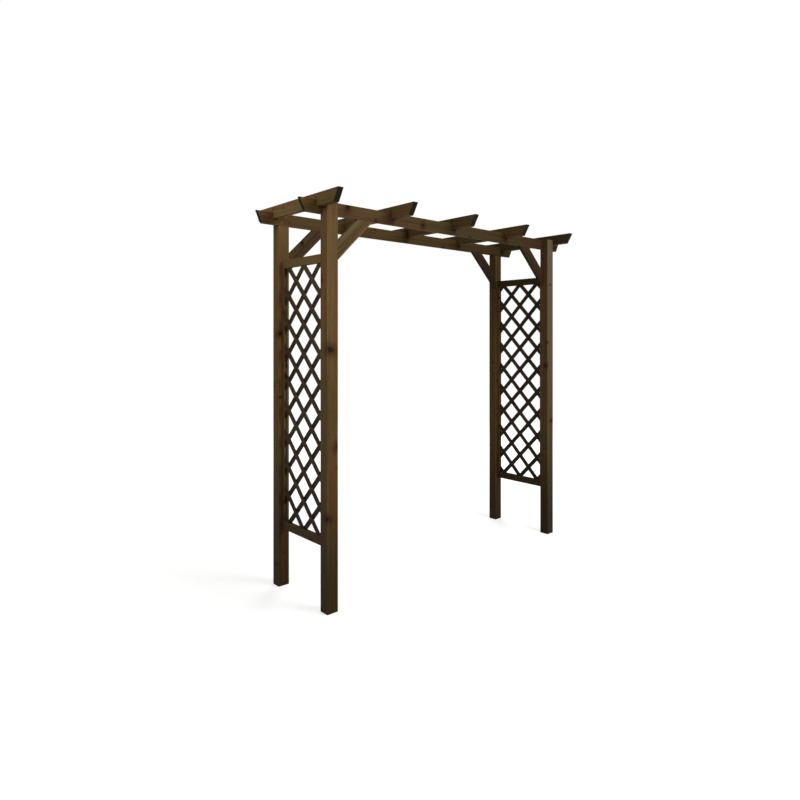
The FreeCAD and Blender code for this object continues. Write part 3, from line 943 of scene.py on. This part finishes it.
class ARCH_OT_braces(bpy.types.Operator):
    """Four knee braces between the posts and the beams"""
    bl_idname = "arch.braces"
    bl_label = "Knee braces"

    def execute(self, context):
        sizes = context.scene.arch_timber
        low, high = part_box("brace_front_left")
        along = Vector((1, 0, 1)).normalized()
        across = Vector((-1, 0, 1)).normalized()
        first = block("brace_front_left_wood", low, high)
        edge = Vector((low.x, 0, low.z))
        with editing(first):
            for start, out in ((edge, -across), (edge + across * sizes.brace_wide, across)):
                bpy.ops.mesh.select_all(action="SELECT")
                bpy.ops.mesh.bisect(plane_co=start, plane_no=out, use_fill=True, clear_outer=True)
        round_edges(first, along, sizes.board_round)
        ease_ends(first, along, sizes.end_round)
        for head, inward, _ in brace_screws():
            carve(first, screw_pocket(head, inward, (high.x - low.x) / 2))
        to_front = Vector((0, low.y + high.y, 0))
        turned = copied(first, "brace_back_right_wood", turned=True)
        braces = {"front_left": first,
                  "back_left": copied(first, "brace_back_left_wood", -to_front),
                  "back_right": turned,
                  "front_right": copied(turned, "brace_front_right_wood", to_front)}
        for corner, brace in braces.items():
            run = along if corner.endswith("left") else Vector((-1, 0, 1))
            finish_wood(brace, f"brace_{corner}", run)
        return {"FINISHED"}


class ARCH_OT_panel_frames(bpy.types.Operator):
    """Grooved rails and stiles round the lattice of both sides"""
    bl_idname = "arch.panel_frames"
    bl_label = "Panel frames"

    def execute(self, context):
        sizes = context.scene.arch_timber
        half_groove = sizes.groove_wide / 2
        for level, opening in (("top", -1), ("bottom", 1)):
            node = f"rail_{level}_left"
            low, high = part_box(node)
            middle = (low.x + high.x) / 2
            rail = block(f"{node}_wood", low, high)
            round_edges(rail, ALONG_Y, sizes.panel_round, segments=2)
            mouth = low.z if opening < 0 else high.z
            levels = sorted((mouth + opening * SPARE, mouth - opening * sizes.groove_deep))
            carve(rail, block("groove", (middle - half_groove, low.y - SPARE, levels[0]),
                              (middle + half_groove, high.y + SPARE, levels[1])))
            other = copied(rail, f"rail_{level}_right_wood", turned=True)
            finish_wood(rail, node, ALONG_Y)
            finish_wood(other, f"rail_{level}_right", ALONG_Y)
        self.make_stiles(sizes)
        return {"FINISHED"}

    def make_stiles(self, sizes):
        low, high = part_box("stile_front_left")
        middle = (low.x + high.x) / 2
        half_groove = sizes.groove_wide / 2
        lattice_low, lattice_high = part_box("lattice_outer_left")
        half_tenon = lattice_high.x - lattice_low.x
        first = block("stile_front_left_wood", low, high)
        round_edges(first, UP, sizes.panel_round, segments=2)
        carve(first, block("groove", (middle - half_groove, high.y - sizes.groove_deep, low.z - SPARE),
                           (middle + half_groove, high.y + SPARE, high.z + SPARE)))
        for side in (-1, 1):
            cheek = sorted((middle + side * half_tenon, middle + side * (high.x - low.x)))
            for levels in ((low.z - SPARE, low.z + sizes.tenon_long),
                           (high.z - sizes.tenon_long, high.z + SPARE)):
                carve(first, block("cheek", (cheek[0], low.y - SPARE, levels[0]),
                                   (cheek[1], high.y + SPARE, levels[1])))
        for corner, stile in at_four_corners(first, "stile", middle).items():
            finish_wood(stile, f"stile_{corner}", UP)


class ARCH_OT_lattices(bpy.types.Operator):
    """Two crossed layers of laths in each side panel"""
    bl_idname = "arch.lattices"
    bl_label = "Lattices"

    def execute(self, context):
        sizes = context.scene.arch_timber
        levels = lath_levels()
        slot = FIRST_LATH_SLOT
        for _, left_right in LEFT_RIGHT:
            # The outer laths rise towards the back and the inner laths towards the front.
            for layer, rise in (("outer", 1), ("inner", -1)):
                node = f"lattice_{layer}_{left_right}"
                low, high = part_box(node)
                laths = self.lay_laths(low, high, levels, rise, sizes)
                lattice = joined(f"{node}_wood", laths)
                room = block("room", (low.x - SPARE, low.y, low.z), (high.x + SPARE, high.y, high.z))
                combine(lattice, room, "INTERSECT")

                def board_at(point, start=slot, rise=rise):
                    nearest = round((point.z - point.y * rise - levels[0]) / sizes.lath_pitch)
                    return start + min(max(nearest, 0), len(levels) - 1)

                finish_wood(lattice, node, (0, rise, 1), "stained_lath", board_at)
                slot += len(levels)
        return {"FINISHED"}

    def lay_laths(self, low, high, levels, rise, sizes):
        """Rounded laths at 45 degrees, one at each level, longer than the panel is wide."""
        long = (high.y - low.y) * math.sqrt(2) + sizes.lath_wide * 2
        half = Vector((high.x - low.x, sizes.lath_wide, long)) / 2
        lath = block("lath", -half, half)
        round_edges(lath, UP, sizes.panel_round, segments=2)
        lath.rotation_euler = (-rise * math.pi / 4, 0, 0)
        settle(lath)
        middle = Vector(((low.x + high.x) / 2, 0, 0))
        laths = [copied(lath, "lath", middle + UP * level) for level in levels]
        bpy.data.objects.remove(lath)
        return laths


class ARCH_OT_tacks(bpy.types.Operator):
    """A domed tack at each crossing of the laths"""
    bl_idname = "arch.tacks"
    bl_label = "Tacks"
    dome_share = 0.75           # how much of the head's height is rounded
    shank_shares = 0.8, 0.2     # the straight shank and its point
    point_share = 0.12          # the point's width, over the shank's

    def execute(self, context):
        sizes = context.scene.arch_timber
        fixings = context.scene.arch_fixings
        middle = sum(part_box("lattice_outer_left"), Vector()).z / 2
        half_wide = -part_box("stile_front_left")[1].y - fixings.tack_edge
        half_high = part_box("rail_top_left")[0].z - middle - fixings.tack_edge
        levels = [level - middle for level in lath_levels()]
        crossings = [((b - a) / 2, (a + b) / 2) for a in levels for b in levels]
        crossings = [(y, z) for y, z in crossings if abs(y) <= half_wide and abs(z) <= half_high]
        for side, left_right in LEFT_RIGHT:
            low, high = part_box(f"lattice_outer_{left_right}")
            face = high.x if side > 0 else low.x
            first = self.make_tack(fixings, (high.x - low.x) * 2, side)
            tacks = [copied(first, "tack", (face, y, middle + z)) for y, z in crossings]
            bpy.data.objects.remove(first)
            node = f"tacks_{left_right}"
            finish_steel(joined(f"{node}_steel", tacks), node)
        return {"FINISHED"}

    def make_tack(self, fixings, lattice_thick, side):
        """One tack on the plane X = 0, with its head on the outer side."""
        high = fixings.tack_head_high
        bpy.ops.mesh.primitive_cylinder_add(vertices=12, radius=fixings.tack_head / 2, depth=high,
                                            location=(0, 0, high / 2))
        tack = added("tack")
        with editing(tack):
            pick("edges", lambda e: all(v.co.z > high * 0.9 for v in e.verts))
            bpy.ops.mesh.bevel(offset=high * self.dome_share, segments=3, affect="EDGES")
        with editing(tack):
            pick("faces", lambda f: f.normal.z < -0.9)
            bpy.ops.mesh.inset(thickness=(fixings.tack_head - fixings.tack_shank) / 2)
            for share in self.shank_shares:
                drop = -(lattice_thick - fixings.tack_short) * share
                bpy.ops.mesh.extrude_region_move(TRANSFORM_OT_translate={"value": (0, 0, drop)})
            bpy.ops.transform.resize(value=(self.point_share, self.point_share, 1.0))
        tack.rotation_euler = turn_to((side, 0, 0))
        return settle(tack)


def finish_steel(piece, node):
    piece.data.materials.clear()
    piece.data.materials.append(finish_named("weathered_steel"))
    only(piece)
    bpy.ops.object.shade_smooth_by_angle(angle=SMOOTH_ANGLE)
    hand_over(piece, node)


class ARCH_OT_screws(bpy.types.Operator):
    """Countersunk wood screws in every joint"""
    bl_idname = "arch.screws"
    bl_label = "Screws"
    rim_high = 0.0004
    recess_deep = 0.0016
    recess_share = 1.05, 0.22   # the recess's length and width, over the head's radius
    root_share = 0.68           # the core's radius under the thread, over the thread's
    point_share = 0.08          # the point's radius, over the core's
    smooth_share = 0.3          # how much of the screw has no thread
    thread_share = 0.88         # how much of the rest the turns of the thread take up
    rise_share = 0.35           # how far up its turn the thread is widest

    def execute(self, context):
        brace_shift = (0, -sum(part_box("brace_front_left"), Vector()).y, 0)
        across = (-2 * post_middle().x, 0, 0)
        in_place = (0, 0, 0)
        groups = (("screws_rails", rail_screws(), (in_place, across)),
                  ("screws_beams", beam_screws(), (in_place,)),
                  ("screws_braces", brace_screws(), (in_place, brace_shift)))
        for node, places, moves in groups:
            driven = []
            for head, direction, reach in places:
                screw = self.drive(head, direction, reach)
                for move in moves:
                    driven += [copied(screw, "screw", move), copied(screw, "screw", move, turned=True)]
                bpy.data.objects.remove(screw)
            finish_steel(joined(f"{node}_steel", driven), node)
        driven = []
        for head, direction, reach in rafter_screws():
            screw = self.drive(head, direction, reach)
            driven += [copied(screw, "screw", move, turned) for move, turned in rafter_copies().values()]
            driven.append(screw)
        finish_steel(joined("screws_rafters_steel", driven), "screws_rafters")
        return {"FINISHED"}

    def drive(self, head, direction, reach):
        screw = self.make_screw(reach)
        screw.rotation_euler = turn_to(direction)
        screw.location = head
        return settle(screw)

    def make_screw(self, reach):
        """A screw whose head lies on Z = 0 and whose point is up at Z = reach."""
        fixings = bpy.context.scene.arch_fixings
        wide = fixings.head_wide / 2
        shank = fixings.shank_wide / 2
        root = shank * self.root_share
        bpy.ops.mesh.primitive_cylinder_add(vertices=16, radius=wide, depth=self.rim_high,
                                            location=(0, 0, self.rim_high / 2))
        screw = added("screw")

        def grow(rise, radius, before):
            bpy.ops.mesh.extrude_region_move(TRANSFORM_OT_translate={"value": (0, 0, rise)})
            share = radius / before
            bpy.ops.transform.resize(value=(share, share, 1.0))

        with editing(screw):
            pick("faces", lambda f: f.normal.z > 0.9)
            grow(fixings.head_high - self.rim_high, root, wide)
            smooth_part = reach * self.smooth_share
            grow(smooth_part, root, root)
            threaded = reach - fixings.head_high - smooth_part
            turns = int(threaded * self.thread_share / fixings.thread_pitch)
            for _ in range(turns):
                grow(fixings.thread_pitch * self.rise_share, shank, root)
                grow(fixings.thread_pitch * (1 - self.rise_share), root, shank)
            grow(threaded - turns * fixings.thread_pitch, root * self.point_share, root)
        long, broad = (wide * share for share in self.recess_share)
        for turn in (0, math.pi / 2):
            bpy.ops.mesh.primitive_cube_add(size=1, location=(0, 0, 0), rotation=(0, 0, turn),
                                            scale=(long, broad, self.recess_deep * 2))
            carve(screw, added("recess"))
        return screw


class ARCH_OT_stage(bpy.types.Operator):
    """A pale floor, soft lamps and the camera"""
    bl_idname = "arch.stage"
    bl_label = "Stage"
    # Where each lamp hangs, the point that it faces, and its width.
    lamps = {"side_lamp": ((-2.4, -0.8, 2.8), (-0.9, 0.0, 1.6), 1.4),
             "front_lamp": ((0.8, -3.3, 3.6), (-0.1, -0.2, 1.5), 2.4),
             "back_lamp": ((3.4, 3.8, 3.8), (0.2, 0.2, 1.1), 3.0)}
    floor_wide = 60

    def execute(self, context):
        settings = context.scene.arch_stage
        self.lay_floor(settings)
        self.light_world(settings)
        for name, (place, aim, wide) in self.lamps.items():
            self.hang_lamp(name, place, aim, wide, getattr(settings, name))
        bpy.ops.object.camera_add(
            location=(settings.camera_x, settings.camera_y, settings.camera_z),
            rotation=(math.pi / 2, 0, -settings.camera_turn))
        camera = context.object
        camera.data.lens = settings.camera_lens
        camera.data.shift_x = settings.shift_x
        camera.data.shift_y = settings.shift_y
        context.scene.camera = camera
        context.scene.view_settings.view_transform = "Standard"
        return {"FINISHED"}

    def lay_floor(self, settings):
        bpy.ops.mesh.primitive_plane_add(size=self.floor_wide)
        floor = added("floor")
        material, wires = new_material("pale_floor")
        seen = self.seen_directly(wires)
        body = wires.add("ShaderNodeBsdfDiffuse", {"Color": rgba(settings.floor)})
        away = wires.add("ShaderNodeVectorMath", {0: wires.place()}, output="Value",
                         operation="LENGTH")
        amount = wires.fade(away, 0.0, settings.lift_reach, settings.near_lift, settings.far_lift)
        lift = wires.add("ShaderNodeEmission", {"Strength": wires.times(seen, amount)})
        both = wires.add("ShaderNodeAddShader", {0: body, 1: lift})
        wires.node("ShaderNodeOutputMaterial", {"Surface": both})
        floor.data.materials.append(material)

    def seen_directly(self, wires):
        """1 for rays from the camera, in reflections and through glass, and otherwise 0."""
        path = wires.node("ShaderNodeLightPath").outputs
        total = wires.math("MAXIMUM", path["Is Camera Ray"], path["Is Glossy Ray"])
        return wires.math("MAXIMUM", total, path["Is Transmission Ray"])

    def light_world(self, settings):
        world = bpy.data.worlds.new("studio")
        world.use_nodes = True
        world.node_tree.nodes.clear()
        wires = Wiring(world.node_tree)
        seen = self.seen_directly(wires)
        strength = wires.add("ShaderNodeMapRange", {0: seen, 3: settings.daylight, 4: 1.0})
        sky = wires.add("ShaderNodeBackground", {"Color": (1, 1, 1, 1), "Strength": strength})
        wires.node("ShaderNodeOutputWorld", {"Surface": sky})
        bpy.context.scene.world = world

    def hang_lamp(self, name, place, aim, wide, power):
        direction = Vector(place) - Vector(aim)
        bpy.ops.object.light_add(type="AREA", location=place, rotation=turn_to(direction))
        lamp = bpy.context.object
        lamp.name = name
        lamp.data.size = wide
        lamp.data.energy = power
        lamp.visible_camera = False


class ARCH_PT_panel(bpy.types.Panel):
    """The arch's builders and their settings, in the sidebar"""
    bl_idname = "ARCH_PT_panel"
    bl_label = "Garden Arch"
    bl_space_type = "VIEW_3D"
    bl_region_type = "UI"
    bl_category = "Garden Arch"

    def draw(self, context):
        for group in SETTINGS:
            box = self.layout.box()
            values = getattr(context.scene, group)
            for name in values.bl_rna.properties.keys():
                if name not in {"rna_type", "name"}:
                    box.prop(values, name)
        for builder in BUILDERS:
            self.layout.operator(builder.bl_idname)


SETTINGS = {"arch_timber": TimberSizes, "arch_fixings": FixingSizes,
            "arch_stain": StainColours, "arch_stage": StageSettings}
BUILDERS = (ARCH_OT_posts, ARCH_OT_beams, ARCH_OT_rafters, ARCH_OT_braces, ARCH_OT_panel_frames,
            ARCH_OT_lattices, ARCH_OT_tacks, ARCH_OT_screws, ARCH_OT_stage)
CLASSES = (*SETTINGS.values(), *BUILDERS, ARCH_PT_panel)


def register():
    for kind in CLASSES:
        bpy.utils.register_class(kind)
    for name, kind in SETTINGS.items():
        setattr(bpy.types.Scene, name, PointerProperty(type=kind))


def unregister():
    for name in SETTINGS:
        delattr(bpy.types.Scene, name)
    for kind in reversed(CLASSES):
        bpy.utils.unregister_class(kind)


def main():
    register()
    bpy.ops.arch.posts()
    bpy.ops.arch.beams()
    bpy.ops.arch.rafters()
    bpy.ops.arch.braces()
    bpy.ops.arch.panel_frames()
    bpy.ops.arch.lattices()
    bpy.ops.arch.tacks()
    bpy.ops.arch.screws()
    bpy.ops.arch.stage()


if __name__ == "__main__":
    main()
